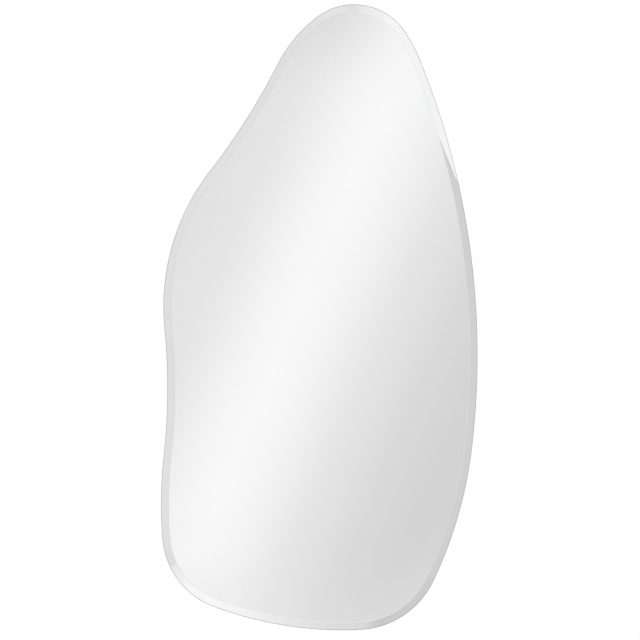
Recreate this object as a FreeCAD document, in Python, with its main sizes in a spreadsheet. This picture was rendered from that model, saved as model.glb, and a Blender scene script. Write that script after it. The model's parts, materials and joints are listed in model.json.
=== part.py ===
"""Frameless wall mirror with an irregular, pebble-like outline and a bevelled edge.

A silvered and painted pane of glass is bonded to a fibreboard back by strips of foam tape and
beads of adhesive. The board hangs by two D-rings in folded steel straps, and four rubber bumpers
hold it off the wall.

Millimetres. +Z is up and the glass faces -Y. The wall is the plane y = 0, and the origin is the
point on it midway between the two places where the rings hang. Each body is drawn from its rear
face, and grows towards the front, -Y, unless its own function says otherwise.
"""
import FreeCAD
import Part
import Sketcher
import math
import os

V = FreeCAD.Vector

SIZES = {
    # The outline is a chain of arcs that run into each other. Four lobes have a place of their own:
    # the nose at the top, the hip on the left, and the heel and toe, the two lower corners.
    "nose_x": 50.5,
    "nose_z": 202.5,
    "nose_r": 97.5,
    "hip_x": -254,          # leftmost reach of the hip
    "hip_z": -182.5,
    "hip_r": 352.5,
    "heel_x": -129,
    "heel_z": -543,
    "heel_r": 127,
    "toe_x": 53.5,
    "toe_z": -562,
    "toe_r": 137,
    # Flatter arcs carry on from a lobe, and begin this many degrees from the upright or the level.
    "cheek_r": 223,
    "cheek_from_top": 37.5,
    "brow_r": 227,
    "brow_from_level": 35,
    "calf_r": 700,
    "calf_from_level": 4.5,
    "haunch_r": 680,
    "haunch_from_level": 25.5,
    # The shoulder and the waist are hollows between two lobes; the sole and the flank span two.
    "shoulder_r": 1080,
    "waist_r": 1000,
    "sole_r": 590,
    "flank_r": 1255,
    # glass and its layers
    "glass_t": 5,
    "bevel_w": 12,
    "bevel_drop": 2,
    "arris": 0.6,
    "silver_t": 0.1,
    "paint_t": 0.1,
    # back
    "board_t": 12,
    "board_inset": 28,      # from the edge of the glass to the edge of the board
    "board_chamfer": 3,
    "bond_margin": 18,      # from the edge of the board to the ends of the tapes and beads
    "tape_w": 19,
    "tape_t": 1.5,
    "bead_w": 10,
    # hangers
    "hang_spread": 240,     # between the two rings
    "strap_w": 14,
    "strap_t": 1.2,
    "strap_corner": 4,      # rounding of its lower end
    "bend_r": 3,            # of the strap's middle, where it closes again below the eye
    "fold_gap": 0.1,        # between its two layers there
    "fold_open": 0.5,       # of the gap below the bend, before the layers are pressed into one
    "eye_gap": 0.15,        # round the bar of the ring
    "ring_wire": 3,
    "ring_play": 0.5,       # between the strap and each corner of the ring
    "ring_corner": 4,
    "ring_side": 1.5,       # straight stretch between the corner and the bow
    "ring_rest": 0.3,       # between the ring at rest and the board
    # screws
    "screw_from_bar": 10.5,
    "screw_pitch": 16,
    "strap_tail": 7,        # beyond the lower screw
    "screw_d": 4,
    "screw_cover": 2.5,     # of the board left in front of the tip
    "screw_tip": 3,
    "head_d": 7.5,
    "head_rise": 2.4,
    "head_bevel": 1,
    "recess_w": 1,
    "recess_span": 4,
    "recess_deep": 1.3,
    "hole_play": 0.5,       # of the shank in the strap, across
    "pilot_extra": 0.5,     # of the hole beyond the tip
    # bumpers
    "bumper_d": 20,
    "bumper_h": 8,
    "bumper_bevel": 1,
    "bumper_margin": 24,    # from the edge of the board to the centre of a lower bumper
    "bumper_angle": 45,     # outwards and down from the middle of a lower corner
    "bumper_spread": 80,    # between the upper two
}

START, END, CENTRE = range(1, 4)            # the points of an arc or a line in a sketch
LEVEL_AXIS, UPRIGHT_AXIS = range(-1, -3, -1)
ORIGIN = (LEVEL_AXIS, START)
BONDS = ("tape", "bead") * 3 + ("tape",)

doc = FreeCAD.newDocument("wall_mirror")
sheet = doc.addObject("Spreadsheet::Sheet", "Sizes")
for row, (name, value) in enumerate(SIZES.items(), 1):
    sheet.set("A%d" % row, name)
    sheet.set("B%d" % row, str(value))
    sheet.setAlias("B%d" % row, name)
doc.recompute()

# Distances that several bodies share, as formulas of the sheet.
EYE_INSIDE = "(Sizes.ring_wire / 2 + Sizes.eye_gap)"
EYE_OUTSIDE = "(Sizes.ring_wire / 2 + Sizes.eye_gap + Sizes.strap_t)"
RING_HALF = "(Sizes.strap_w / 2 + Sizes.ring_play + Sizes.ring_corner)"
RING_REACH = "(Sizes.ring_corner + Sizes.ring_side + %s)" % RING_HALF
BAR_Z = "(Sizes.ring_wire / 2 - %s)" % RING_REACH
STRAP_LENGTH = "(Sizes.screw_from_bar + Sizes.screw_pitch + Sizes.strap_tail)"
STRAP_STACK = "(2 * Sizes.strap_t + Sizes.fold_gap)"
SCREW_LENGTH = "(%s + Sizes.board_t - Sizes.screw_cover)" % STRAP_STACK
BOARD_REAR = "(-Sizes.bumper_h)"
BOND_REAR = "(%s - Sizes.board_t)" % BOARD_REAR
PAINT_REAR = "(%s - Sizes.tape_t)" % BOND_REAR
SILVER_REAR = "(%s - Sizes.paint_t)" % PAINT_REAR
GLASS_REAR = "(%s - Sizes.silver_t)" % SILVER_REAR

# The arcs in their order, anticlockwise as the glass is seen from the front.
ROUND = ("nose", "cheek", "shoulder", "hip", "waist", "calf",
         "heel", "sole", "toe", "haunch", "flank", "brow")
HOLLOWS = ("shoulder", "waist")
LOBES = ("nose", "heel", "toe")
CONTACTS = {                      # a flatter arc, its lobe, and where on the lobe they meet
    "cheek": ("nose", END, "90 + Sizes.cheek_from_top"),
    "calf": ("heel", START, "180 + Sizes.calf_from_level"),
    "haunch": ("toe", END, "-Sizes.haunch_from_level"),
    "brow": ("nose", START, "Sizes.brow_from_level"),
}
BRIDGES = {                       # an arc that touches two others
    "shoulder": ("cheek", "hip"),
    "waist": ("hip", "calf"),
    "sole": ("heel", "toe"),
    "flank": ("haunch", "brow"),
}


def number(formula):
    """The value of a formula of the sheet."""
    return float(sheet.evalExpression(formula))


def size(name):
    return number("Sizes." + name)


# ---------------------------------------------------------------- the outline

def along(degrees):
    return V(math.cos(math.radians(degrees)), math.sin(math.radians(degrees)))


def running_on(lobe, lobe_radius, radius, degrees):
    """Centre of the arc that takes over from a lobe in this direction from the lobe's centre."""
    return lobe + along(degrees) * (lobe_radius - radius)


def between(first, first_radius, second, second_radius, radius):
    """Centre of the arc that touches two others; a hollow's radius is negative."""
    to_first = abs(radius - first_radius)
    to_second = abs(radius - second_radius)
    reach = first.distanceToPoint(second)
    foot = (to_first ** 2 - to_second ** 2 + reach ** 2) / (2 * reach)
    rise = math.sqrt(to_first ** 2 - foot ** 2)
    ahead = (second - first) * (1 / reach)
    for side in (1, -1):
        centre = first + ahead * foot + V(-ahead.y, ahead.x) * side * rise
        start = (centre - first) * (1 / (first_radius - radius))
        end = (centre - second) * (1 / (second_radius - radius))
        if start.cross(end).z * radius > 0:
            return centre


def outline_circles():
    """Name, centre and signed radius of each arc."""
    radius = {name: size(name + "_r") * (-1 if name in HOLLOWS else 1) for name in ROUND}
    centre = {lobe: V(size(lobe + "_x"), size(lobe + "_z")) for lobe in LOBES}
    centre["hip"] = V(size("hip_x") + size("hip_r"), size("hip_z"))
    for flatter, (lobe, end, direction) in CONTACTS.items():
        centre[flatter] = running_on(centre[lobe], radius[lobe], radius[flatter], number(direction))
    for bridge, (first, second) in BRIDGES.items():
        centre[bridge] = between(centre[first], radius[first], centre[second], radius[second],
                                 radius[bridge])
    return [(name, centre[name], radius[name]) for name in ROUND]


def outline_arcs():
    """Name, centre, signed radius, first direction and turn in radians of each arc."""
    circles = outline_circles()
    meets = []
    for (name, centre, radius), following in zip(circles, circles[1:] + circles[:1]):
        contact = (following[1] - centre) * (1 / (radius - following[2]))
        meets.append(math.atan2(contact.y, contact.x))
    arcs = []
    for place, (name, centre, radius) in enumerate(circles):
        turn = (meets[place] - meets[place - 1] + math.pi) % (2 * math.pi) - math.pi
        arcs.append((name, centre, radius, meets[place - 1], turn))
    return arcs


def heights(across, inset):
    """Lowest and highest point of the outline, drawn smaller by the inset, at a place across."""
    found = []
    for name, centre, radius, start, turn in outline_arcs():
        reach = radius - inset
        cosine = (across - centre.x) / reach
        if abs(cosine) > 1:
            continue
        for direction in (math.acos(cosine), -math.acos(cosine)):
            gone = (direction - start) * math.copysign(1, turn) % (2 * math.pi)
            if gone <= abs(turn):
                found.append(centre.y + reach * math.sin(direction))
    return min(found), max(found)


# ---------------------------------------------------------------- bodies and sketches

def new_body(label, x="0", y="0", z="0"):
    """A body placed by formulas of the sheet."""
    body = doc.addObject("PartDesign::Body", label)
    body.Label = label
    for axis, formula in (("x", x), ("y", y), ("z", z)):
        body.setExpression("Placement.Base." + axis, formula)
    return body


def new_sketch(body, role, name):
    """A sketch on one of the body's own planes."""
    sketch = body.newObject("Sketcher::SketchObject", name)
    plane = next(one for one in body.Origin.OriginFeatures if one.Role == role)
    sketch.AttachmentSupport = [(plane, "")]
    sketch.MapMode = "FlatFace"
    return sketch


def line(sketch, start, end):
    return sketch.addGeometry(Part.LineSegment(V(*start), V(*end)), False)


def arc(sketch, centre, radius, start, end):
    """An arc that runs anticlockwise between two directions in radians."""
    circle = Part.Circle(V(*centre), V(0, 0, 1), radius)
    return sketch.addGeometry(Part.ArcOfCircle(circle, start, end), False)


def rule(sketch, kind, *places):
    return sketch.addConstraint(Sketcher.Constraint(kind, *places))


def bind(sketch, formula, kind, *places):
    """A measured constraint that follows a formula of the sheet."""
    index = sketch.addConstraint(Sketcher.Constraint(kind, *places, number(formula)))
    sketch.setExpression("Constraints[%d]" % index, formula)


def bind_point(sketch, place, across, up):
    bind(sketch, across, "DistanceX", *ORIGIN, *place)
    bind(sketch, up, "DistanceY", *ORIGIN, *place)


def draw_outline(sketch, inset):
    """The outline of the glass, drawn smaller by a formula: every arc keeps its centre."""
    smaller = number(inset)
    index = {}
    ends = {}
    for name, centre, radius, start, turn in outline_arcs():
        if radius > 0:
            index[name] = arc(sketch, centre, radius - smaller, start, start + turn)
            ends[name] = (START, END)
        else:
            index[name] = arc(sketch, centre, smaller - radius,
                              start + turn + math.pi, start + math.pi)
            ends[name] = (END, START)
    for name, following in zip(ROUND, ROUND[1:] + ROUND[:1]):
        rule(sketch, "Tangent", index[name], ends[name][1], index[following], ends[following][0])
    for name, centre, radius in outline_circles():
        sign = "-" if radius > 0 else "+"
        bind(sketch, "Sizes.%s_r %s %s" % (name, sign, inset), "Radius", index[name])
    for lobe in LOBES:
        bind_point(sketch, (index[lobe], CENTRE), "Sizes.%s_x" % lobe, "Sizes.%s_z" % lobe)
    bind_point(sketch, (index["hip"], CENTRE), "Sizes.hip_x + Sizes.hip_r", "Sizes.hip_z")
    for lobe, end, direction in CONTACTS.values():
        bind(sketch, "(Sizes.%s_r - %s) * sin(%s)" % (lobe, inset, direction),
             "DistanceY", index[lobe], CENTRE, index[lobe], end)


def draw_closed(sketch, corners):
    """Straight sides from corner to corner and back to the first."""
    sides = [line(sketch, start, end) for start, end in zip(corners, corners[1:] + corners[:1])]
    for side, following in zip(sides, sides[1:] + sides[:1]):
        rule(sketch, "Coincident", side, END, following, START)
    return sides


def draw_rectangle(sketch, left, low, right, high):
    """Its lower, right, upper and left side."""
    sides = draw_closed(sketch, ((left, low), (right, low), (right, high), (left, high)))
    for kind, side in zip(("Horizontal", "Vertical", "Horizontal", "Vertical"), sides):
        rule(sketch, kind, side)
    return sides


def draw_centred(sketch, width, height):
    """A rectangle round the sketch's origin."""
    half, tall = number(width) / 2, number(height) / 2
    lower, right, upper, left = draw_rectangle(sketch, -half, -tall, half, tall)
    bind(sketch, width, "DistanceX", lower, START, lower, END)
    bind(sketch, height, "DistanceY", right, START, right, END)
    rule(sketch, "Symmetric", lower, START, upper, START, *ORIGIN)


def pad(body, sketch, depth, name):
    """Thickness from the sketch towards the front."""
    feature = body.newObject("PartDesign::Pad", name)
    feature.Profile = sketch
    feature.setExpression("Length", depth)
    return feature


def cut(body, sketch, depth, name):
    """A pocket from the sketch towards the front."""
    before = solid_volume(body)
    feature = body.newObject("PartDesign::Pocket", name)
    feature.Profile = sketch
    feature.setExpression("Length", depth)
    feature.Reversed = True
    if solid_volume(body) >= before:
        raise RuntimeError("%s of %s removes nothing" % (name, body.Label))


def revolve(body, sketch, name):
    """A full turn round the body's own Y axis."""
    feature = body.newObject("PartDesign::Revolution", name)
    feature.Profile = sketch
    feature.ReferenceAxis = (sketch, ["V_Axis"])
    feature.Angle = 360
    return feature


def solid_volume(body):
    doc.recompute()
    return body.Shape.Volume


def edges_at(feature, front):
    """Names of the edges that lie whole in the plane at this depth of the body."""
    names = []
    for place, edge in enumerate(feature.Shape.Edges, 1):
        box = edge.BoundBox
        if abs(box.YMin - front) < 1e-4 and abs(box.YMax - front) < 1e-4:
            names.append("Edge%d" % place)
    return names


def soften(body, kind, feature, names, amount):
    """A fillet or an equal chamfer on some edges of a feature."""
    edge = body.newObject("PartDesign::" + kind, kind + feature.Name)
    edge.Base = (feature, names)
    edge.setExpression("Radius" if kind == "Fillet" else "Size", amount)


# ---------------------------------------------------------------- the pane and its back

def make_glass():
    """Pane with a wide flat bevel all round its face and a small arris on its rear edge."""
    body = new_body("mirror_glass", y=GLASS_REAR)
    sketch = new_sketch(body, "XZ_Plane", "GlassOutline")
    draw_outline(sketch, "0")
    pane = pad(body, sketch, "Sizes.glass_t", "Pane")
    doc.recompute()
    bevel = body.newObject("PartDesign::Chamfer", "Bevel")
    bevel.Base = (pane, edges_at(pane, -size("glass_t")))
    bevel.ChamferType = "Two distances"
    bevel.setExpression("Size", "Sizes.bevel_w")
    bevel.setExpression("Size2", "Sizes.bevel_drop")
    doc.recompute()
    if len(edges_at(bevel, size("bevel_drop") - size("glass_t"))) < len(ROUND):
        bevel.FlipDirection = True
        doc.recompute()
    soften(body, "Chamfer", bevel, edges_at(bevel, 0), "Sizes.arris")
    return body


def make_layer(label, rear, thickness):
    """A thin coat on the back of the glass, which stops at the arris."""
    body = new_body(label, y=rear)
    sketch = new_sketch(body, "XZ_Plane", "CoatOutline")
    draw_outline(sketch, "Sizes.arris")
    pad(body, sketch, thickness, "Coat")
    return body


def make_board():
    """Fibreboard back: it stands in from the glass, its rear edge is chamfered."""
    body = new_body("backing_board", y=BOARD_REAR)
    sketch = new_sketch(body, "XZ_Plane", "BoardOutline")
    draw_outline(sketch, "Sizes.board_inset")
    board = pad(body, sketch, "Sizes.board_t", "Board")
    doc.recompute()
    soften(body, "Chamfer", board, edges_at(board, 0), "Sizes.board_chamfer")
    pilots = new_sketch(body, "XZ_Plane", "PilotHoles")
    for across in ("-Sizes.hang_spread / 2", "Sizes.hang_spread / 2"):
        for drop in ("0", "Sizes.screw_pitch"):
            up = "%s - Sizes.screw_from_bar - %s" % (BAR_Z, drop)
            circle = Part.Circle(V(number(across), number(up)), V(0, 0, 1), size("screw_d") / 2)
            hole = pilots.addGeometry(circle, False)
            bind(pilots, "Sizes.screw_d / 2", "Radius", hole)
            bind_point(pilots, (hole, CENTRE), across, up)
    depth = "%s - %s + Sizes.pilot_extra" % (SCREW_LENGTH, STRAP_STACK)
    cut(body, pilots, depth, "Pilots")
    return body


def bond_places():
    """Even places across the board, from its left reach to its right one."""
    flank = next(one for one in outline_circles() if one[0] == "flank")
    left = size("hip_x") + size("board_inset")
    right = flank[1].x + size("flank_r") - size("board_inset")
    step = (right - left) / (len(BONDS) + 1)
    return [left + step * count for count in range(1, len(BONDS) + 1)]


def bond_ends(across, width):
    """Lower and upper end of a tape or a bead, inside the board by the bond's margin."""
    inset = size("board_inset") + size("bond_margin")
    beside = [heights(across + side * size(width) / 2, inset) for side in (-1, 1)]
    return max(low for low, high in beside), min(high for low, high in beside)


def make_tape(label, across):
    """Foam tape, cut square at both ends."""
    body = new_body(label, x=str(across), y=BOND_REAR)
    low, high = bond_ends(across, "tape_w")
    half = size("tape_w") / 2
    sketch = new_sketch(body, "XZ_Plane", "TapeOutline")
    lower, right, upper, left = draw_rectangle(sketch, -half, low, half, high)
    bind(sketch, "Sizes.tape_w", "DistanceX", lower, START, lower, END)
    bind(sketch, "-Sizes.tape_w / 2", "DistanceX", *ORIGIN, lower, START)
    rule(sketch, "DistanceY", *ORIGIN, lower, START, low)
    rule(sketch, "DistanceY", *ORIGIN, upper, START, high)
    pad(body, sketch, "Sizes.tape_t", "Tape")
    return body


def make_bead(label, across):
    """Adhesive squeezed to the thickness of the tape, round at both ends."""
    body = new_body(label, x=str(across), y=BOND_REAR)
    low, high = bond_ends(across, "bead_w")
    half = size("bead_w") / 2
    low, high = low + half, high - half
    sketch = new_sketch(body, "XZ_Plane", "BeadOutline")
    right = line(sketch, (half, low), (half, high))
    upper = arc(sketch, (0, high), half, 0, math.pi)
    left = line(sketch, (-half, high), (-half, low))
    lower = arc(sketch, (0, low), half, math.pi, 2 * math.pi)
    for first, second in ((right, upper), (upper, left), (left, lower), (lower, right)):
        rule(sketch, "Tangent", first, END, second, START)
    rule(sketch, "Vertical", right)
    rule(sketch, "Vertical", left)
    bind(sketch, "Sizes.bead_w / 2", "Radius", upper)
    rule(sketch, "PointOnObject", upper, CENTRE, UPRIGHT_AXIS)
    rule(sketch, "DistanceY", *ORIGIN, upper, CENTRE, high)
    rule(sketch, "DistanceY", *ORIGIN, lower, CENTRE, low)
    pad(body, sketch, "Sizes.tape_t", "Bead")
    return body


# ---------------------------------------------------------------- hangers

def make_strap(label, across):
    """Steel strip folded round the bar of the ring, its two layers pressed into one below the eye."""
    body = new_body(label, x=across, y=BOARD_REAR, z=BAR_Z)
    sketch = new_sketch(body, "YZ_Plane", "Fold")
    thick = size("strap_t")
    inside, outside = number(EYE_INSIDE), number(EYE_OUTSIDE)
    over, under = size("bend_r") - thick / 2, size("bend_r") + thick / 2
    stack, lap = number(STRAP_STACK), thick + size("fold_gap")
    end = -number(STRAP_LENGTH)
    cosine = (stack + over - outside) / (outside + over)
    fall = math.acos(cosine)
    bend = (outside + (outside + over) * cosine, -(outside + over) * math.sin(fall))
    weld = bend[1] - size("fold_open")

    rear = line(sketch, (0, end), (0, 0))
    eye = arc(sketch, (outside, 0), outside, -fall, math.pi)
    hollow = arc(sketch, bend, over, math.pi - fall, math.pi)
    face = line(sketch, (stack, bend[1]), (stack, end))
    foot = line(sketch, (stack, end), (0, end))
    rule(sketch, "Tangent", rear, END, eye, END)
    rule(sketch, "Tangent", eye, START, hollow, START)
    rule(sketch, "Tangent", hollow, END, face, START)
    rule(sketch, "Coincident", face, END, foot, START)
    rule(sketch, "Coincident", foot, END, rear, START)

    inner_eye = arc(sketch, (outside, 0), inside, -fall, math.pi)
    inner_bend = arc(sketch, bend, under, math.pi - fall, math.pi)
    inner_face = line(sketch, (lap, bend[1]), (lap, weld))
    seam = line(sketch, (lap, weld), (thick, weld))
    inner_rear = line(sketch, (thick, weld), (thick, 0))
    rule(sketch, "Tangent", inner_eye, START, inner_bend, START)
    rule(sketch, "Tangent", inner_bend, END, inner_face, START)
    rule(sketch, "Coincident", inner_face, END, seam, START)
    rule(sketch, "Coincident", seam, END, inner_rear, START)
    rule(sketch, "Tangent", inner_rear, END, inner_eye, END)

    rule(sketch, "Coincident", eye, CENTRE, inner_eye, CENTRE)
    rule(sketch, "Coincident", hollow, CENTRE, inner_bend, CENTRE)
    for upright in (rear, face, inner_face, inner_rear):
        rule(sketch, "Vertical", upright)
    for level in (foot, seam):
        rule(sketch, "Horizontal", level)
    bind(sketch, EYE_OUTSIDE, "Radius", eye)
    bind(sketch, EYE_INSIDE, "Radius", inner_eye)
    bind(sketch, "Sizes.bend_r - Sizes.strap_t / 2", "Radius", hollow)
    bind(sketch, "Sizes.fold_gap", "DistanceX", seam, END, seam, START)
    bind(sketch, "Sizes.fold_open", "DistanceY", inner_face, END, inner_face, START)
    bind(sketch, STRAP_LENGTH, "DistanceY", rear, START, rear, END)
    rule(sketch, "Coincident", rear, END, *ORIGIN)

    strip = pad(body, sketch, "Sizes.strap_w", "Strip")
    strip.Midplane = True
    doc.recompute()
    corners = []
    for place, edge in enumerate(strip.Shape.Edges, 1):
        box = edge.BoundBox
        if box.ZMax < end + 1e-4 and box.XLength < 1e-4 and box.YLength > 1e-3:
            corners.append("Edge%d" % place)
    soften(body, "Fillet", strip, corners, "Sizes.strap_corner")
    holes = new_sketch(body, "XZ_Plane", "Holes")
    for drop in ("0", "Sizes.screw_pitch"):
        up = "-Sizes.screw_from_bar - %s" % drop
        wide = "(Sizes.screw_d + Sizes.hole_play) / 2"
        circle = Part.Circle(V(0, number(up)), V(0, 0, 1), number(wide))
        hole = holes.addGeometry(circle, False)
        bind(holes, wide, "Radius", hole)
        bind_point(holes, (hole, CENTRE), "0", up)
    before = solid_volume(body)
    through = body.newObject("PartDesign::Pocket", "ScrewHoles")
    through.Profile = holes
    through.Type = "ThroughAll"
    if solid_volume(body) >= before:
        raise RuntimeError("the strap has no holes")
    return body


def wire_run(body, name, length, turn, across, up):
    """A straight stretch of the ring's wire; the turn lays it along X, or leaves it upright."""
    run = body.newObject("PartDesign::AdditiveCylinder", name)
    run.setExpression("Radius", "Sizes.ring_wire / 2")
    run.setExpression("Height", length)
    run.Placement.Rotation = FreeCAD.Rotation(V(0, 1, 0), turn)
    run.setExpression("Placement.Base.x", across)
    run.setExpression("Placement.Base.z", up)


def wire_bend(body, name, radius, start, sweep, across, up):
    """A bend of the ring's wire in the plane of the ring, anticlockwise from a direction."""
    bend = body.newObject("PartDesign::AdditiveTorus", name)
    bend.setExpression("Radius1", radius)
    bend.setExpression("Radius2", "Sizes.ring_wire / 2")
    bend.Angle3 = sweep
    facing = FreeCAD.Rotation(V(1, 0, 0), 90)
    bend.Placement.Rotation = facing.multiply(FreeCAD.Rotation(V(0, 0, 1), start))
    bend.setExpression("Placement.Base.x", across)
    bend.setExpression("Placement.Base.z", up)


def make_ring(label, across):
    """D-ring of round wire, its straight bar through the eye; it leans back on to the board."""
    lift = "(Sizes.bumper_h - %s)" % EYE_OUTSIDE
    body = new_body(label, x=across, y="-" + lift, z=BAR_Z)
    flat = "(%s - Sizes.ring_corner)" % RING_HALF
    wire_run(body, "Bar", "2 * " + flat, 90, "-" + flat, "0")
    wire_bend(body, "RightCorner", "Sizes.ring_corner", -90, 90, flat, "Sizes.ring_corner")
    wire_run(body, "RightSide", "Sizes.ring_side", 0, RING_HALF, "Sizes.ring_corner")
    wire_bend(body, "Bow", RING_HALF, 0, 180, "0", "Sizes.ring_corner + Sizes.ring_side")
    wire_run(body, "LeftSide", "Sizes.ring_side", 0, "-" + RING_HALF, "Sizes.ring_corner")
    wire_bend(body, "LeftCorner", "Sizes.ring_corner", 180, 90, "-" + flat, "Sizes.ring_corner")
    body.Placement.Rotation = FreeCAD.Rotation(V(1, 0, 0), 1)      # the axis; the angle follows
    lean = "asin((%s - Sizes.ring_wire / 2 - Sizes.ring_rest) / %s)" % (EYE_OUTSIDE, RING_REACH)
    body.setExpression("Placement.Rotation.Angle", lean)
    return body


def make_screw(name, across, drop):
    """Pan-head screw with a cross recess, its seat against the face of the strap."""
    body = new_body(name, x=across, y="%s + %s" % (BOARD_REAR, STRAP_STACK),
                    z="%s - Sizes.screw_from_bar - %s" % (BAR_Z, drop))
    sketch = new_sketch(body, "XY_Plane", "Turning")
    head, shank = size("head_d") / 2, size("screw_d") / 2
    crown = head - size("head_bevel")
    rise, rim = size("head_rise"), size("head_rise") - size("head_bevel")
    end = -number(SCREW_LENGTH)
    tip = end + size("screw_tip")
    corners = ((0, rise), (0, end), (shank, tip), (shank, 0), (head, 0), (head, rim), (crown, rise))
    axis, point, thread, seat, edge, bevel, top = draw_closed(sketch, corners)
    for upright in (axis, thread, edge):
        rule(sketch, "Vertical", upright)
    for level in (seat, top):
        rule(sketch, "Horizontal", level)
    rule(sketch, "PointOnObject", axis, START, UPRIGHT_AXIS)
    rule(sketch, "PointOnObject", seat, START, LEVEL_AXIS)
    bind(sketch, "Sizes.head_rise", "DistanceY", *ORIGIN, axis, START)
    bind(sketch, SCREW_LENGTH, "DistanceY", axis, END, *ORIGIN)
    bind(sketch, "Sizes.screw_tip", "DistanceY", point, START, point, END)
    bind(sketch, "Sizes.screw_d / 2", "DistanceX", *ORIGIN, seat, START)
    bind(sketch, "Sizes.head_d / 2", "DistanceX", *ORIGIN, seat, END)
    bind(sketch, "Sizes.head_bevel", "DistanceX", bevel, END, bevel, START)
    bind(sketch, "Sizes.head_bevel", "DistanceY", bevel, START, bevel, END)
    revolve(body, sketch, "Screw")
    for turn, (width, height) in enumerate((("recess_w", "recess_span"), ("recess_span", "recess_w"))):
        slot = new_sketch(body, "XZ_Plane", "Recess%d" % turn)
        slot.setExpression("AttachmentOffset.Base.z", "-Sizes.head_rise")
        draw_centred(slot, "Sizes." + width, "Sizes." + height)
        cut(body, slot, "Sizes.recess_deep", "Slot%d" % turn)
    return body


def make_screws(label, across):
    """The two screws of a strap, as one group of separate solids."""
    group = doc.addObject("Part::Compound", label)
    group.Label = label
    group.Links = [make_screw("%s_%s" % (label, place), across, drop)
                   for place, drop in (("upper", "0"), ("lower", "Sizes.screw_pitch"))]
    return group


# ---------------------------------------------------------------- bumpers

def make_bumper(label, across, up):
    """Round rubber bumper stuck to the board, bevelled at the wall."""
    body = new_body(label, x=across, z=up)
    sketch = new_sketch(body, "XZ_Plane", "Round")
    circle = sketch.addGeometry(Part.Circle(V(), V(0, 0, 1), size("bumper_d") / 2), False)
    rule(sketch, "Coincident", circle, CENTRE, *ORIGIN)
    bind(sketch, "Sizes.bumper_d / 2", "Radius", circle)
    bumper = pad(body, sketch, "Sizes.bumper_h", "Bumper")
    doc.recompute()
    soften(body, "Chamfer", bumper, edges_at(bumper, 0), "Sizes.bumper_bevel")
    return body


def lower_bumper(lobe, side):
    """Formulas of the place of a bumper near the edge of the board, in a lower corner."""
    out = "(Sizes.%s_r - Sizes.board_inset - Sizes.bumper_margin)" % lobe
    across = "Sizes.%s_x %s %s * cos(Sizes.bumper_angle)" % (lobe, side, out)
    return across, "Sizes.%s_z - %s * sin(Sizes.bumper_angle)" % (lobe, out)


# ---------------------------------------------------------------- the whole mirror

def make_mirror():
    parts = [make_glass(),
             make_layer("silver_coating", SILVER_REAR, "Sizes.silver_t"),
             make_layer("backing_paint", PAINT_REAR, "Sizes.paint_t"),
             make_board()]
    for place, (bond, across) in enumerate(zip(BONDS, bond_places())):
        count = BONDS[:place + 1].count(bond)
        if bond == "tape":
            parts.append(make_tape("mounting_tape_%d" % count, across))
        else:
            parts.append(make_bead("adhesive_bead_%d" % count, across))
    for side, sign in (("left", "-"), ("right", "")):
        across = sign + "Sizes.hang_spread / 2"
        parts.append(make_strap("%s_hanger_strap" % side, across))
        parts.append(make_ring("%s_hanger_ring" % side, across))
        parts.append(make_screws("%s_hanger_screws" % side, across))
        place = "Sizes.nose_x %s Sizes.bumper_spread / 2" % (sign or "+")
        parts.append(make_bumper("upper_%s_bumper" % side, place, "Sizes.nose_z"))
    parts.append(make_bumper("lower_left_bumper", *lower_bumper("heel", "-")))
    parts.append(make_bumper("lower_right_bumper", *lower_bumper("toe", "+")))
    return parts


def check(parts):
    for one in doc.Objects:
        if "Invalid" in one.State or "Error" in one.State:
            raise RuntimeError("%s failed: %s" % (one.Label, one.State))
    for part in parts:
        if part.Shape.isNull() or not part.Shape.isValid():
            raise RuntimeError("%s has no valid shape" % part.Label)


parts = make_mirror()
doc.recompute()
check(parts)
os.makedirs("parts", exist_ok=True)
for part in parts:
    part.Shape.exportStep("parts/%s.step" % part.Label)
    box = part.Shape.BoundBox
    print("%-22s %d solids %10.0f mm3  x %.1f..%.1f  y %.2f..%.2f  z %.1f..%.1f" % (
        part.Label, len(part.Shape.Solids), part.Shape.Volume,
        box.XMin, box.XMax, box.YMin, box.YMax, box.ZMin, box.ZMax))
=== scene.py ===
"""Looks of a frameless wall mirror: a bevelled glass with an irregular outline on a black board.

Metres. +Z is up, the glass faces -Y and the wall is the plane y = 0. Every piece is worked out from
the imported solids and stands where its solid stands. The outlines are made smooth between the
corners that the solids have.
"""
import bmesh
import bpy
import json
import math
from mathutils import Matrix, Vector


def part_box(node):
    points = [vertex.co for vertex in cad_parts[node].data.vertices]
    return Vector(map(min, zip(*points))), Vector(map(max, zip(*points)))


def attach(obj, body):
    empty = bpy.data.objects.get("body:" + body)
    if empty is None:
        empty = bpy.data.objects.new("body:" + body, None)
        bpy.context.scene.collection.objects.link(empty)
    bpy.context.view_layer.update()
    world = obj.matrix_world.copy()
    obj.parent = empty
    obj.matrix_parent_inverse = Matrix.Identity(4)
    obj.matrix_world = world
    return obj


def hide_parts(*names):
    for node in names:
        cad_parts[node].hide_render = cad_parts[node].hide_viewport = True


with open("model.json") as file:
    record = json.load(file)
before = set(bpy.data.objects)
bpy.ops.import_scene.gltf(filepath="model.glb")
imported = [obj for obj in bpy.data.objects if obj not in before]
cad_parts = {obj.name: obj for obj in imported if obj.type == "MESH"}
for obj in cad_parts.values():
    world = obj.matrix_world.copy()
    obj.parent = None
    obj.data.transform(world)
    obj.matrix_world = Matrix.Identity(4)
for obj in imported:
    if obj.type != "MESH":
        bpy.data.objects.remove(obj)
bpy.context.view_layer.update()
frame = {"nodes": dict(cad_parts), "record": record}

MM = 0.001
NEAR = 0.001 * MM                # corners this near are one

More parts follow.
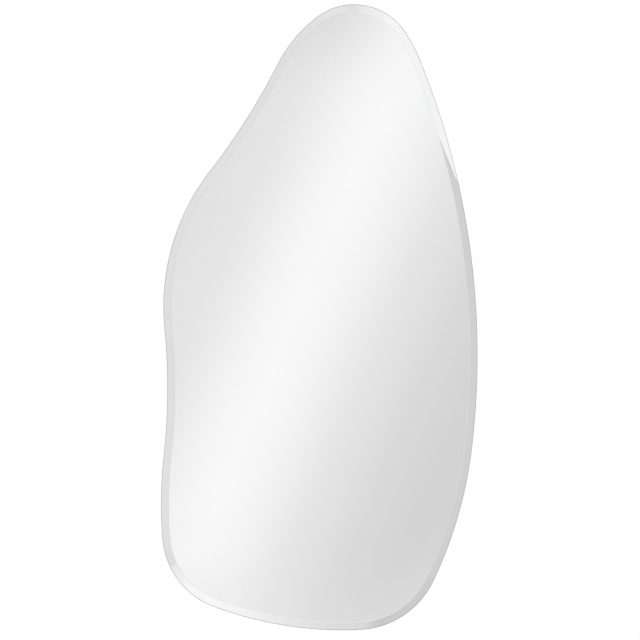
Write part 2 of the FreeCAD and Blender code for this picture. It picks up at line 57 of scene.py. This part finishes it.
# pane
BEVEL_WIDTH = 12 * MM
BEVEL_DROP = 2 * MM
FRONT_ARRIS = 0.1 * MM
REAR_ARRIS = 0.6 * MM
INTO_COAT = 0.02 * MM            # the glass ends inside its coats, so nothing parts them
SEAL = 0.03 * MM                 # paint on the rear arris
ARRIS_FACES = (0.5, 0.9)         # the part along Y of the rear arris's normals lies between these
RIM_FACES = 0.1                  # and that of the upright rim's normals lies below this
PANE_CREASE = 5                  # degrees; its edges that turn more are shown sharp

# back
BOARD_CHAMFER = 3 * MM
BOARD_ROUND = 0.5 * MM
STRAP_ROUND = 0.12 * MM
STRAP_FLAT = 1                   # degrees; faces that turn less are one
STRAP_SHEARED = 40               # degrees; edges that turn more were sheared

# screws
SHANK = 2 * MM                   # its radius
TIP = 3 * MM                     # length of its point
HEAD_RISE = 2.4 * MM
HEAD_SIDE = 0.7 * MM             # upright part of the head
HEAD_SHOULDER = 1.6 * MM         # width of the rounding between its side and its crown
CROWN_RISE = 0.35 * MM
RECESS_SPAN = 4.2 * MM
RECESS_WIDTH = 1.05 * MM
RECESS_DEEP = 1.5 * MM
RECESS_CLEAR = 0.1 * MM          # of its cutter above the crown
RECESS_TAPER = 0.5               # of the cross at its bottom

# bumpers
BUMPER_FOOT = 0.2 * MM
BUMPER_ROUND = 1.3 * MM

# how finely curves are divided
OUTLINE_TURN = 0.05              # degrees; corners of an outline that turn less are left out
CURVE_STEPS = 8                  # stretches between two corners of an outline
TURN_STEPS = 64                  # of a full turn
ROUNDING_STEPS = 6               # of a quarter turn
CROWN_STEPS = 4                  # from the shoulder of a screw's head to its middle
CREASE = 30                      # degrees; edges that turn more are shown sharp

# finishes; each metal has its darkest and its palest tone
GLASS_IOR = 1.52
NICKEL = (0.56, 0.55, 0.52), (0.66, 0.64, 0.61)
ZINC = (0.52, 0.54, 0.57), (0.62, 0.64, 0.66)

# what the camera sees
CAMERA_AWAY = 6
PICTURE_WIDTH = 1.02185          # of the plane of the glass
PICTURE_CENTRE = (-3.98 * MM, -204.06 * MM)
FLOOR = -1.9
FLOOR_REACH = 13
FLOOR_CORNERS = 96

# lamps: name, place, width and watts
LAMPS = (
    ("key_lamp", (2.2, 2.6, 1.8), 1.2, 55),
    ("fill_lamp", (-2.6, 1.8, 0.3), 1.6, 18),
    ("overhead_lamp", (0.3, 0.9, 3.2), 2.4, 70))
LAMP_AIM = (0, 0, -0.2)
SOFTBOX = ("softbox", (-0.85, -8, 0.18), 0.2, 0.058)
SOFTBOX_LENGTH = 0.3
SOFTBOX_TURN = 30                # degrees, its right end up

# Light of the room. Directions are told by how far they lean off the camera's line, in steps that
# are each a pixel of a picture 640 wide.
STEP = PICTURE_WIDTH / 640 / CAMERA_AWAY
BAND_LEAN = 23                   # degrees of the slanting band of light, off the upright
BAND_REACH = 200
BAND_LIGHT = (0.78, 0.79, 0.84, 0.95, 0.955, 0.845, 0.755, 0.69, 0.67)
PANELS = (                       # round the lens: degrees from the right, anticlockwise, and light
    (-180, 0.65), (-166.6, 0.66), (-165.4, 0.96), (-156, 0.98), (-108, 0.86), (-82, 0.77),
    (-57, 0.81), (4.5, 0.76), (9, 0.88), (38, 0.97), (66, 0.98), (90, 0.69), (112, 0.57),
    (145, 0.60), (172, 0.62), (180, 0.65))
PANELS_FROM, PANELS_FULL = 220, 370
PANELS_END, HALL_FULL = 640, 1100
HALL_DOWN, HALL_UP = -0.15, 0.7  # rise of a direction, from where the floor ends
HALL_LIGHT = (0.84, 0.66, 0.56, 0.66, 0.88, 1.0)
HALL_BESIDE = 0.1                # it takes over between minus this and this, along Y


# ---------------------------------------------------------------- nodes

def node(tree, kind, **settings):
    """A new node of this kind, with these settings."""
    made = tree.nodes.new(kind)
    for name, value in settings.items():
        setattr(made, name, value)
    return made


def place(tree, stretch=(1, 1, 1), turn=(0, 0, 0)):
    """Object coordinates, multiplied and turned."""
    coordinates = node(tree, "ShaderNodeTexCoord")
    mapping = node(tree, "ShaderNodeMapping")
    mapping.inputs["Scale"].default_value = stretch
    mapping.inputs["Rotation"].default_value = turn
    tree.links.new(coordinates.outputs["Object"], mapping.inputs["Vector"])
    return mapping.outputs["Vector"]


def noise(tree, vector, scale, detail=4, roughness=0.55):
    """Clouds, the finer the larger their scale."""
    texture = node(tree, "ShaderNodeTexNoise")
    texture.inputs["Scale"].default_value = scale
    texture.inputs["Detail"].default_value = detail
    texture.inputs["Roughness"].default_value = roughness
    tree.links.new(vector, texture.inputs["Vector"])
    return texture.outputs["Fac"]


def cells(tree, vector, scale):
    """Closed cells, 0 at their middles."""
    texture = node(tree, "ShaderNodeTexVoronoi")
    texture.inputs["Scale"].default_value = scale
    tree.links.new(vector, texture.inputs["Vector"])
    return texture.outputs["Distance"]


def colours(tree, factor, stops, smoothness="LINEAR"):
    """A ramp of colours; each stop is a place from 0 to 1 and a colour."""
    ramp = node(tree, "ShaderNodeValToRGB")
    ramp.color_ramp.interpolation = smoothness
    elements = ramp.color_ramp.elements
    while len(elements) < len(stops):
        elements.new(0.5)
    for element, (position, colour) in zip(elements, stops):
        element.position = position
        element.color = (*colour, 1)
    tree.links.new(factor, ramp.inputs["Fac"])
    return ramp.outputs["Color"]


def lights(tree, factor, stops, smoothness):
    """A ramp of plain light; each stop is a place from 0 to 1 and a level."""
    greys = [(position, (level, level, level)) for position, level in stops]
    return colours(tree, factor, greys, smoothness)


def evenly(levels):
    """Stops for these levels, each as far from the next."""
    return [(count / (len(levels) - 1), level) for count, level in enumerate(levels)]


def share_of(tree, value, start, end, smoothness="LINEAR"):
    """0 up to a start, 1 from an end on."""
    spread = node(tree, "ShaderNodeMapRange", interpolation_type=smoothness)
    spread.inputs["From Min"].default_value = start
    spread.inputs["From Max"].default_value = end
    tree.links.new(value, spread.inputs["Value"])
    return spread.outputs["Result"]


def crossfade(tree, value, start, end, first, second):
    """The first light up to a start, the second from an end on, and a soft change between them."""
    mix = node(tree, "ShaderNodeMix", data_type="RGBA")
    tree.links.new(share_of(tree, value, start, end, "SMOOTHSTEP"), mix.inputs["Factor"])
    tree.links.new(first, mix.inputs["A"])
    tree.links.new(second, mix.inputs["B"])
    return mix.outputs["Result"]


def of_vector(tree, operation, vector, by=None):
    """The node that works something out from a vector, and from a second one if it is given."""
    made = node(tree, "ShaderNodeVectorMath", operation=operation)
    tree.links.new(vector, made.inputs[0])
    if by:
        made.inputs[1].default_value = by
    return made


# ---------------------------------------------------------------- materials

def new_material(name):
    """A material, its node tree and its one shader."""
    material = bpy.data.materials.new(name)
    material.use_nodes = True
    return material, material.node_tree, material.node_tree.nodes["Principled BSDF"]


def tint(tree, shader, factor, dark, pale, start=0.3, end=0.7):
    """Base colour that goes from dark to pale as the factor goes from a start to an end."""
    tree.links.new(colours(tree, factor, ((start, dark), (end, pale))), shader.inputs["Base Color"])


def roughen(tree, shader, factor, smooth, rough):
    """Roughness that follows the factor between these two."""
    spread = node(tree, "ShaderNodeMapRange")
    spread.inputs["To Min"].default_value = smooth
    spread.inputs["To Max"].default_value = rough
    tree.links.new(factor, spread.inputs["Value"])
    tree.links.new(spread.outputs["Result"], shader.inputs["Roughness"])


def bump(tree, shader, height, depth):
    """Relief of this depth in metres."""
    relief = node(tree, "ShaderNodeBump")
    relief.inputs["Distance"].default_value = depth
    tree.links.new(height, relief.inputs["Height"])
    tree.links.new(relief.outputs["Normal"], shader.inputs["Normal"])


def float_glass():
    """Clear glass with a faint green in its depth, seen where the sight line runs along it."""
    material, tree, shader = new_material("float_glass")
    shader.inputs["Base Color"].default_value = (1, 1, 1, 1)
    shader.inputs["Roughness"].default_value = 0
    shader.inputs["IOR"].default_value = GLASS_IOR
    shader.inputs["Transmission Weight"].default_value = 1
    depth = node(tree, "ShaderNodeVolumeAbsorption")
    depth.inputs["Color"].default_value = (0.80, 0.92, 0.88, 1)
    depth.inputs["Density"].default_value = 4
    tree.links.new(depth.outputs["Volume"], tree.nodes["Material Output"].inputs["Volume"])
    return material


def ground_edge_painted_shade():
    """The upright rim of the glass, ground and half polished. Its dark green base colour is painted
    shade that stands in for the depth of the glass seen through the rim; only the green hue is the
    glass's own.
    """
    material, tree, shader = new_material("ground_glass_edge_in_painted_shade")
    shader.inputs["IOR"].default_value = GLASS_IOR
    shader.inputs["Transmission Weight"].default_value = 0.3
    strokes = noise(tree, place(tree, stretch=(1, 6, 1)), scale=240)
    # Painted shade: the dark green base colour stands in for the shade and green of the glass's
    # depth; the strokes are real grinding marks.
    tint(tree, shader, strokes, (0.15, 0.25, 0.21), (0.21, 0.33, 0.28))
    roughen(tree, shader, strokes, 0.16, 0.34)
    bump(tree, shader, strokes, 0.02 * MM)
    return material


def silver():
    """Bright silver film, a little uneven in tone as wet-laid silver is."""
    material, tree, shader = new_material("silver_film")
    shader.inputs["Metallic"].default_value = 1
    shader.inputs["Roughness"].default_value = 0
    film = noise(tree, place(tree), scale=9, detail=2)
    tint(tree, shader, film, (0.962, 0.964, 0.962), (0.972, 0.972, 0.970))
    return material


def back_paint():
    """Curtain-coated grey paint on the silver: an even coat with a fine orange peel."""
    material, tree, shader = new_material("mirror_back_paint")
    broad = noise(tree, place(tree), scale=14, detail=3)
    tint(tree, shader, broad, (0.125, 0.145, 0.160), (0.150, 0.170, 0.185), start=0.25, end=0.75)
    peel = noise(tree, place(tree), scale=900, detail=2)
    roughen(tree, shader, peel, 0.42, 0.58)
    bump(tree, shader, peel, 0.03 * MM)
    return material


def black_board():
    """Fibreboard sealed with matt black: short fibres stand up a little under the paint."""
    material, tree, shader = new_material("black_fibreboard")
    shader.inputs["Specular IOR Level"].default_value = 0.3
    blotches = noise(tree, place(tree), scale=22)
    tint(tree, shader, blotches, (0.013, 0.013, 0.0135), (0.018, 0.018, 0.0185))
    lying = place(tree, stretch=(1, 1, 2.5), turn=(0, 0.5, 0))
    fibres = noise(tree, lying, scale=1100, detail=5, roughness=0.65)
    roughen(tree, shader, fibres, 0.5, 0.75)
    bump(tree, shader, fibres, 0.06 * MM)
    return material


def foam():
    """White closed-cell foam."""
    material, tree, shader = new_material("white_foam")
    shader.inputs["Roughness"].default_value = 0.85
    bubbles = cells(tree, place(tree), scale=2600)
    tint(tree, shader, bubbles, (0.60, 0.60, 0.58), (0.76, 0.76, 0.74), start=0, end=0.6)
    bump(tree, shader, bubbles, 0.08 * MM)
    return material


def silicone():
    """Cured silicone, milky and half glossy."""
    material, tree, shader = new_material("milky_silicone")
    ripples = noise(tree, place(tree, stretch=(1, 1, 0.3)), scale=160, detail=2)
    tint(tree, shader, ripples, (0.56, 0.56, 0.53), (0.64, 0.64, 0.61))
    roughen(tree, shader, ripples, 0.25, 0.4)
    bump(tree, shader, ripples, 0.2 * MM)
    return material


def plated(name, tones, scale, smooth, rough, stretch=(1, 1, 1)):
    """Plated steel with fine lines that run the way it was rolled, drawn or turned."""
    material, tree, shader = new_material(name)
    shader.inputs["Metallic"].default_value = 1
    clouds = noise(tree, place(tree), scale=120, detail=3)
    tint(tree, shader, clouds, *tones)
    lines = noise(tree, place(tree, stretch), scale, detail=5, roughness=0.6)
    roughen(tree, shader, lines, smooth, rough)
    bump(tree, shader, lines, 0.008 * MM)
    return material


def black_rubber():
    """Matt moulded rubber with a fine grain and a trace of bloom."""
    material, tree, shader = new_material("black_rubber")
    bloom = noise(tree, place(tree), scale=180)
    tint(tree, shader, bloom, (0.016, 0.016, 0.016), (0.030, 0.030, 0.030), end=0.75)
    grain = noise(tree, place(tree), scale=2400, detail=3)
    roughen(tree, shader, grain, 0.6, 0.82)
    bump(tree, shader, grain, 0.05 * MM)
    return material


def pale_floor():
    """An even floor, a little patchy."""
    material, tree, shader = new_material("pale_floor")
    shader.inputs["Roughness"].default_value = 0.8
    patches = noise(tree, place(tree), scale=1.5, detail=3)
    tint(tree, shader, patches, (0.80, 0.80, 0.80), (0.84, 0.84, 0.84))
    return material


FINISHES = {
    "clear_glass": float_glass(),
    "silvering": silver(),
    "mirror_back_paint": back_paint(),
    "fibreboard": black_board(),
    "foam_tape": foam(),
    "adhesive": silicone(),
    "plated_strip": plated("nickel_strip", NICKEL, 900, 0.18, 0.34, stretch=(6, 6, 0.4)),
    "plated_wire": plated("nickel_wire", NICKEL, 1500, 0.12, 0.24),
    "plated_screw": plated("zinc_screw", ZINC, 2200, 0.22, 0.38),
    "rubber": black_rubber(),
}


# ---------------------------------------------------------------- shapes

def copy_of(name):
    """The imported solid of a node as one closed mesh."""
    mesh = bmesh.new()
    mesh.from_mesh(frame["nodes"][name].data)
    bmesh.ops.remove_doubles(mesh, verts=mesh.verts, dist=NEAR)
    return mesh


def outline_of(name, depth):
    """Corners of a node's outline, in order, where a plane at this depth cuts it."""
    mesh = copy_of(name)
    bmesh.ops.bisect_plane(mesh, geom=mesh.verts[:] + mesh.edges[:] + mesh.faces[:], dist=NEAR / 10,
                           plane_co=(0, depth, 0), plane_no=(0, 1, 0),
                           clear_inner=True, clear_outer=True)
    bmesh.ops.dissolve_limit(mesh, angle_limit=math.radians(OUTLINE_TURN),
                             verts=mesh.verts, edges=mesh.edges)
    loops = []
    left = set(mesh.verts)
    while left:
        corner = min(left, key=lambda one: one.index)
        edge = corner.link_edges[0]
        loop = []
        while corner in left:
            left.remove(corner)
            loop.append(corner.co.copy())
            edge = next(one for one in corner.link_edges if one is not edge)
            corner = edge.other_vert(corner)
        loops.append(loop)
    mesh.free()
    return max(loops, key=len)


def smooth_loop(corners, depth):
    """A closed curve through these corners at this depth, as a mesh of edges."""
    curve = bpy.data.curves.new("outline", "CURVE")
    curve.dimensions = "3D"
    curve.resolution_u = CURVE_STEPS
    spline = curve.splines.new("BEZIER")
    spline.bezier_points.add(len(corners) - 1)
    for point, corner in zip(spline.bezier_points, corners):
        point.co = (corner.x, depth, corner.z)
        point.handle_left_type = "AUTO"
        point.handle_right_type = "AUTO"
    spline.use_cyclic_u = True
    drawn = bpy.data.objects.new("outline", curve)
    bpy.context.scene.collection.objects.link(drawn)
    bpy.context.view_layer.update()
    line = bpy.data.meshes.new_from_object(drawn)
    mesh = bmesh.new()
    mesh.from_mesh(line)
    bpy.data.objects.remove(drawn)
    bpy.data.curves.remove(curve)
    bpy.data.meshes.remove(line)
    bmesh.ops.remove_doubles(mesh, verts=mesh.verts, dist=NEAR)
    return mesh


def grow(mesh, faces, step):
    """Draws the faces out into a solid by this step, and gives the corners that moved."""
    grown = bmesh.ops.extrude_face_region(mesh, geom=faces)["geom"]
    moved = [part for part in grown if isinstance(part, bmesh.types.BMVert)]
    bmesh.ops.translate(mesh, verts=moved, vec=step)
    return moved


def slab(corners, rear, thickness):
    """A plate with this outline, from its rear to the front."""
    mesh = smooth_loop(corners, rear)
    face = bmesh.ops.contextual_create(mesh, geom=mesh.edges[:])["faces"][0]
    grow(mesh, [face], (0, -thickness, 0))
    bmesh.ops.recalc_face_normals(mesh, faces=mesh.faces)
    return mesh


def face_at(mesh, depth):
    """The face that lies whole at this depth."""
    return next(face for face in mesh.faces
                if all(abs(corner.co.y - depth) < NEAR for corner in face.verts))


def rim_at(mesh, depth):
    """The edges that lie whole at this depth."""
    return [edge for edge in mesh.edges
            if all(abs(corner.co.y - depth) < NEAR for corner in edge.verts)]


def soften(mesh, edges, radius, steps=2):
    """Rounds the edges off, or cuts them flat in one step."""
    bmesh.ops.bevel(mesh, geom=edges, offset=radius, segments=steps, profile=0.5,
                    affect="EDGES", material=-1)


def rounding(radius, start, inwards, rise):
    """A quarter of an oval, in radius and depth, from the side of a turned solid to its crown."""
    turns = [math.radians(90 * step / ROUNDING_STEPS) for step in range(ROUNDING_STEPS + 1)]
    return [(radius - inwards * (1 - math.cos(turn)), start + rise * math.sin(turn))
            for turn in turns]


def turned(profile, centre):
    """A solid turned round an axis along Y; the profile gives radius and depth from end to end."""
    mesh = bmesh.new()
    points = [mesh.verts.new((centre[0] + radius, depth, centre[1])) for radius, depth in profile]
    edges = [mesh.edges.new(pair) for pair in zip(points, points[1:])]
    bmesh.ops.spin(mesh, geom=points + edges, cent=(centre[0], 0, centre[1]), axis=(0, 1, 0),
                   angle=2 * math.pi, steps=TURN_STEPS, use_merge=True)
    bmesh.ops.remove_doubles(mesh, verts=mesh.verts, dist=NEAR)
    bmesh.ops.recalc_face_normals(mesh, faces=mesh.faces)
    return mesh


def data_of(mesh, name):
    """The mesh as Blender's data of this name."""
    data = bpy.data.meshes.new(name)
    mesh.to_mesh(data)
    mesh.free()
    return data


def join(mesh, other):
    """Adds another mesh to this one."""
    data = data_of(other, "added")
    mesh.from_mesh(data)
    bpy.data.meshes.remove(data)


def stand_in_scene(name, data):
    """An object of this name in the scene."""
    made = bpy.data.objects.new(name, data)
    bpy.context.scene.collection.objects.link(made)
    return made


def finish_piece(mesh, name, body, slot, *nodes, crease=CREASE):
    """Turns a mesh into a shown piece that rides on its body and stands for these solids."""
    data = data_of(mesh, name)
    data.materials.append(FINISHES[slot])
    data.shade_smooth()
    data.set_sharp_from_angle(angle=math.radians(crease))
    piece = stand_in_scene(name, data)
    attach(piece, body)
    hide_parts(*nodes)
    return piece


# ---------------------------------------------------------------- pieces

def make_pane():
    """Glass with a flat bevel, a polished arris on both edges of its rim."""
    low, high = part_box("mirror_glass")
    rear = high.y + INTO_COAT
    edge = low.y + BEVEL_DROP
    mesh = slab(outline_of("mirror_glass", (high.y + edge) / 2), rear, rear - edge)
    front = face_at(mesh, edge)
    bmesh.ops.inset_region(mesh, faces=[front], thickness=BEVEL_WIDTH, use_even_offset=True)
    front = max((face for face in mesh.faces if abs(face.normal.y + 1) < NEAR),
                key=lambda face: len(face.verts))
    bmesh.ops.translate(mesh, verts=front.verts[:], vec=(0, -BEVEL_DROP, 0))
    soften(mesh, rim_at(mesh, edge), FRONT_ARRIS, steps=3)
    soften(mesh, rim_at(mesh, rear), REAR_ARRIS, steps=1)
    pane = finish_piece(mesh, "glass_pane", "mirror", "clear_glass", "mirror_glass",
                        crease=PANE_CREASE)
    pane.data.materials.append(ground_edge_painted_shade())
    for face in pane.data.polygons:
        if abs(face.normal.y) < RIM_FACES:
            face.material_index = 1


def coat(name):
    """A thin layer over the whole back of the glass."""
    low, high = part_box(name)
    return slab(outline_of(name, (low.y + high.y) / 2), high.y, high.y - low.y)


def make_silver():
    """Silver on the back of the glass."""
    finish_piece(coat("silver_coating"), "silver_coat", "mirror", "silvering", "silver_coating")


def arris_seal():
    """Paint that laps over the rear arris, which shows through the bevel as a thin dark line."""
    low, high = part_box("mirror_glass")
    corners = outline_of("mirror_glass", (high.y + low.y + BEVEL_DROP) / 2)
    seal = slab(corners, high.y, 2 * REAR_ARRIS)
    soften(seal, rim_at(seal, high.y), REAR_ARRIS, steps=1)
    seal.normal_update()
    least, most = ARRIS_FACES
    others = [face for face in seal.faces if not least < face.normal.y < most]
    bmesh.ops.delete(seal, geom=others, context="FACES")
    seal.normal_update()
    outwards = {corner: corner.normal * SEAL for corner in seal.verts}
    for corner, step in outwards.items():
        corner.co += step
    bmesh.ops.solidify(seal, geom=seal.faces[:], thickness=SEAL + INTO_COAT)
    return seal


def make_paint():
    """Paint over the silver and round the arris."""
    paint = coat("backing_paint")
    join(paint, arris_seal())
    finish_piece(paint, "paint_coat", "mirror", "mirror_back_paint", "backing_paint")


def make_board():
    """Fibreboard with its chamfered rear edge, all its edges a little rounded."""
    low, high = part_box("backing_board")
    mesh = slab(outline_of("backing_board", (low.y + high.y) / 2), high.y, high.y - low.y)
    soften(mesh, rim_at(mesh, high.y), BOARD_CHAMFER, steps=1)
    for depth in (low.y, high.y, high.y - BOARD_CHAMFER):
        soften(mesh, rim_at(mesh, depth), BOARD_ROUND)
    finish_piece(mesh, "black_board", "mirror", "fibreboard", "backing_board")


def make_strap(side):
    """The folded strap, its sheared edges a little broken."""
    name = "%s_hanger_strap" % side
    mesh = copy_of(name)
    bmesh.ops.dissolve_limit(mesh, angle_limit=math.radians(STRAP_FLAT),
                             verts=mesh.verts, edges=mesh.edges)
    sheared = [edge for edge in mesh.edges if edge.calc_face_angle(0) > math.radians(STRAP_SHEARED)]
    soften(mesh, sheared, STRAP_ROUND)
    finish_piece(mesh, "%s_strap" % side, "mirror", "plated_strip", name)


def make_ring(side):
    """The ring of bent wire that swings in its strap's eye."""
    name = "%s_hanger_ring" % side
    finish_piece(copy_of(name), "%s_d_ring" % side, "%s_ring" % side, "plated_wire", name)


def cross_cutter(centre, top):
    """A cross that narrows towards its bottom, to be sunk in a screw's head."""
    mesh = bmesh.new()
    bmesh.ops.create_grid(mesh, x_segments=3, y_segments=3, size=RECESS_SPAN / 2)
    for corner in mesh.verts:
        for axis in (0, 1):
            if abs(corner.co[axis]) < RECESS_SPAN / 4:
                corner.co[axis] = math.copysign(RECESS_WIDTH / 2, corner.co[axis])
    middles = {face: face.calc_center_median() for face in mesh.faces}
    empty = [face for face, middle in middles.items()
             if min(abs(middle.x), abs(middle.y)) > RECESS_WIDTH]
    bmesh.ops.delete(mesh, geom=empty, context="FACES")
    deep = grow(mesh, mesh.faces[:], (0, 0, RECESS_DEEP + RECESS_CLEAR))
    bmesh.ops.scale(mesh, verts=deep, vec=(RECESS_TAPER, RECESS_TAPER, 1))
    bmesh.ops.rotate(mesh, verts=mesh.verts, matrix=Matrix.Rotation(math.radians(90), 3, "X"))
    bmesh.ops.translate(mesh, verts=mesh.verts, vec=(centre[0], top + RECESS_CLEAR, centre[1]))
    bmesh.ops.recalc_face_normals(mesh, faces=mesh.faces)
    return mesh


def less(mesh, cutter):
    """The mesh without what the cutter takes out of it."""
    whole, tool = (stand_in_scene("shape", data_of(one, "shape")) for one in (mesh, cutter))
    cut = whole.modifiers.new("recess", "BOOLEAN")
    cut.operation = "DIFFERENCE"
    cut.solver = "EXACT"
    cut.object = tool
    bpy.context.view_layer.update()
    settled = bpy.context.evaluated_depsgraph_get()
    rest = bpy.data.meshes.new_from_object(whole.evaluated_get(settled))
    result = bmesh.new()
    result.from_mesh(rest)
    for shape in (whole, tool):
        data = shape.data
        bpy.data.objects.remove(shape)
        bpy.data.meshes.remove(data)
    bpy.data.meshes.remove(rest)
    return result


def screw_profile(tip, seat, radius):
    """Half of a pan-head screw, from its tip to the middle of its crown."""
    top = seat + HEAD_RISE
    inner = radius - HEAD_SHOULDER
    rise = HEAD_RISE - HEAD_SIDE - CROWN_RISE
    shoulder = rounding(radius, seat + HEAD_SIDE, HEAD_SHOULDER, rise)
    crown = [(inner * (1 - step / CROWN_STEPS), top - CROWN_RISE * (1 - step / CROWN_STEPS) ** 2)
             for step in range(1, CROWN_STEPS + 1)]
    return [(0, tip), (SHANK, tip + TIP), (SHANK, seat), (radius, seat), *shoulder, *crown]


def make_screws(side):
    """The two screws of a strap, with domed pan heads and tapered cross recesses."""
    name = "%s_hanger_screws" % side
    low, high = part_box(name)
    radius = (high.x - low.x) / 2
    seat = high.y - HEAD_RISE
    both = bmesh.new()
    for up in (low.z + radius, high.z - radius):
        centre = ((low.x + high.x) / 2, up)
        screw = turned(screw_profile(low.y, seat, radius), centre)
        join(both, less(screw, cross_cutter(centre, high.y)))
    finish_piece(both, "%s_pan_screws" % side, "mirror", "plated_screw", name)


def make_bumper(corner):
    """Moulded bumper with a rounded edge at the wall."""
    name = "%s_bumper" % corner
    low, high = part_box(name)
    radius = (high.x - low.x) / 2
    centre = ((low.x + high.x) / 2, (low.z + high.z) / 2)
    edge = rounding(radius, high.y - BUMPER_ROUND, BUMPER_ROUND, BUMPER_ROUND)
    profile = [(0, low.y), (radius - BUMPER_FOOT, low.y), (radius, low.y + BUMPER_FOOT),
               *edge, (0, high.y)]
    finish_piece(turned(profile, centre), "%s_rubber_bumper" % corner, "mirror", "rubber", name)


# ---------------------------------------------------------------- studio

def make_floor():
    """A round floor, far below the mirror."""
    mesh = bmesh.new()
    bmesh.ops.create_circle(mesh, cap_ends=True, segments=FLOOR_CORNERS, radius=FLOOR_REACH)
    bmesh.ops.translate(mesh, verts=mesh.verts, vec=(0, 0, FLOOR))
    data = data_of(mesh, "floor")
    data.materials.append(pale_floor())
    floor = stand_in_scene("floor", data)


def make_lamp(name, spot, width, power):
    """A soft round lamp that shines on the mirror."""
    lamp = bpy.data.lights.new(name, "AREA")
    lamp.shape = "DISK"
    lamp.size = width
    lamp.energy = power
    stand = stand_in_scene(name, lamp)
    stand.location = spot
    stand.rotation_euler = (Vector(LAMP_AIM) - Vector(spot)).to_track_quat("-Z", "Y").to_euler()
    return stand


def make_softbox():
    """A dim oblong lamp behind the camera, that only the bevel at the right of the nose mirrors."""
    box = make_lamp(*SOFTBOX)
    box.rotation_euler = (math.radians(90), math.radians(-SOFTBOX_TURN), 0)
    box.data.shape = "RECTANGLE"
    box.data.size_y = SOFTBOX_LENGTH
    box.visible_camera = False


def make_room():
    """A slanting band of light in front, soft panels round the lens, and a pale hall all round."""
    world = bpy.data.worlds.new("studio")
    bpy.context.scene.world = world
    world.use_nodes = True
    tree = world.node_tree
    direction = node(tree, "ShaderNodeTexCoord").outputs["Generated"]
    parts = node(tree, "ShaderNodeSeparateXYZ")
    tree.links.new(direction, parts.inputs["Vector"])

    lean = math.radians(BAND_LEAN)
    across = (math.cos(lean), 0, -math.sin(lean))
    sideways = of_vector(tree, "DOT_PRODUCT", direction, across).outputs["Value"]
    reach = BAND_REACH * STEP
    band = lights(tree, share_of(tree, sideways, -reach, reach), evenly(BAND_LIGHT), "CARDINAL")

    turn = node(tree, "ShaderNodeMath", operation="ARCTAN2")
    tree.links.new(parts.outputs["Z"], turn.inputs[0])
    tree.links.new(parts.outputs["X"], turn.inputs[1])
    stops = [(degrees / 360 + 0.5, level) for degrees, level in PANELS]
    panels = lights(tree, share_of(tree, turn.outputs["Value"], -math.pi, math.pi), stops, "EASE")

    rise = share_of(tree, parts.outputs["Z"], HALL_DOWN, HALL_UP)
    hall = lights(tree, rise, evenly(HALL_LIGHT), "CARDINAL")

    flat = of_vector(tree, "MULTIPLY", direction, (1, 0, 1)).outputs["Vector"]
    off_line = of_vector(tree, "LENGTH", flat).outputs["Value"]
    white = node(tree, "ShaderNodeRGB").outputs["Color"]
    white.default_value = (1, 1, 1, 1)
    camera_ray = node(tree, "ShaderNodeLightPath").outputs["Is Camera Ray"]
    light = crossfade(tree, off_line, PANELS_FROM * STEP, PANELS_FULL * STEP, band, panels)
    light = crossfade(tree, off_line, PANELS_END * STEP, HALL_FULL * STEP, light, hall)
    light = crossfade(tree, parts.outputs["Y"], -HALL_BESIDE, HALL_BESIDE, light, hall)
    light = crossfade(tree, camera_ray, 0, 1, light, white)
    tree.links.new(light, tree.nodes["Background"].inputs["Color"])


def make_camera():
    """Straight in front of the glass, from far off, framed as the photograph is."""
    camera = bpy.data.cameras.new("camera")
    camera.lens = camera.sensor_width * CAMERA_AWAY / PICTURE_WIDTH
    stand = stand_in_scene("camera", camera)
    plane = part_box("mirror_glass")[0].y
    stand.location = (PICTURE_CENTRE[0], plane - CAMERA_AWAY, PICTURE_CENTRE[1])
    stand.rotation_euler = (math.radians(90), 0, 0)
    bpy.context.scene.camera = stand


# ---------------------------------------------------------------- the mirror in its studio

make_pane()
make_silver()
make_paint()
make_board()
for side in ("left", "right"):
    make_strap(side)
    make_ring(side)
    make_screws(side)
for corner in ("upper_left", "upper_right", "lower_left", "lower_right"):
    make_bumper(corner)

# The tapes and beads are shown as they were packed, so every solid gets its finish.
for row in frame["record"]["subparts"]:
    solid = frame["nodes"][row["node"]]
    solid.data.materials.clear()
    solid.data.materials.append(FINISHES[row["material_slot"]])

make_floor()
for lamp in LAMPS:
    make_lamp(*lamp)
make_softbox()
make_room()
make_camera()
bpy.context.scene.view_settings.view_transform = "Standard"
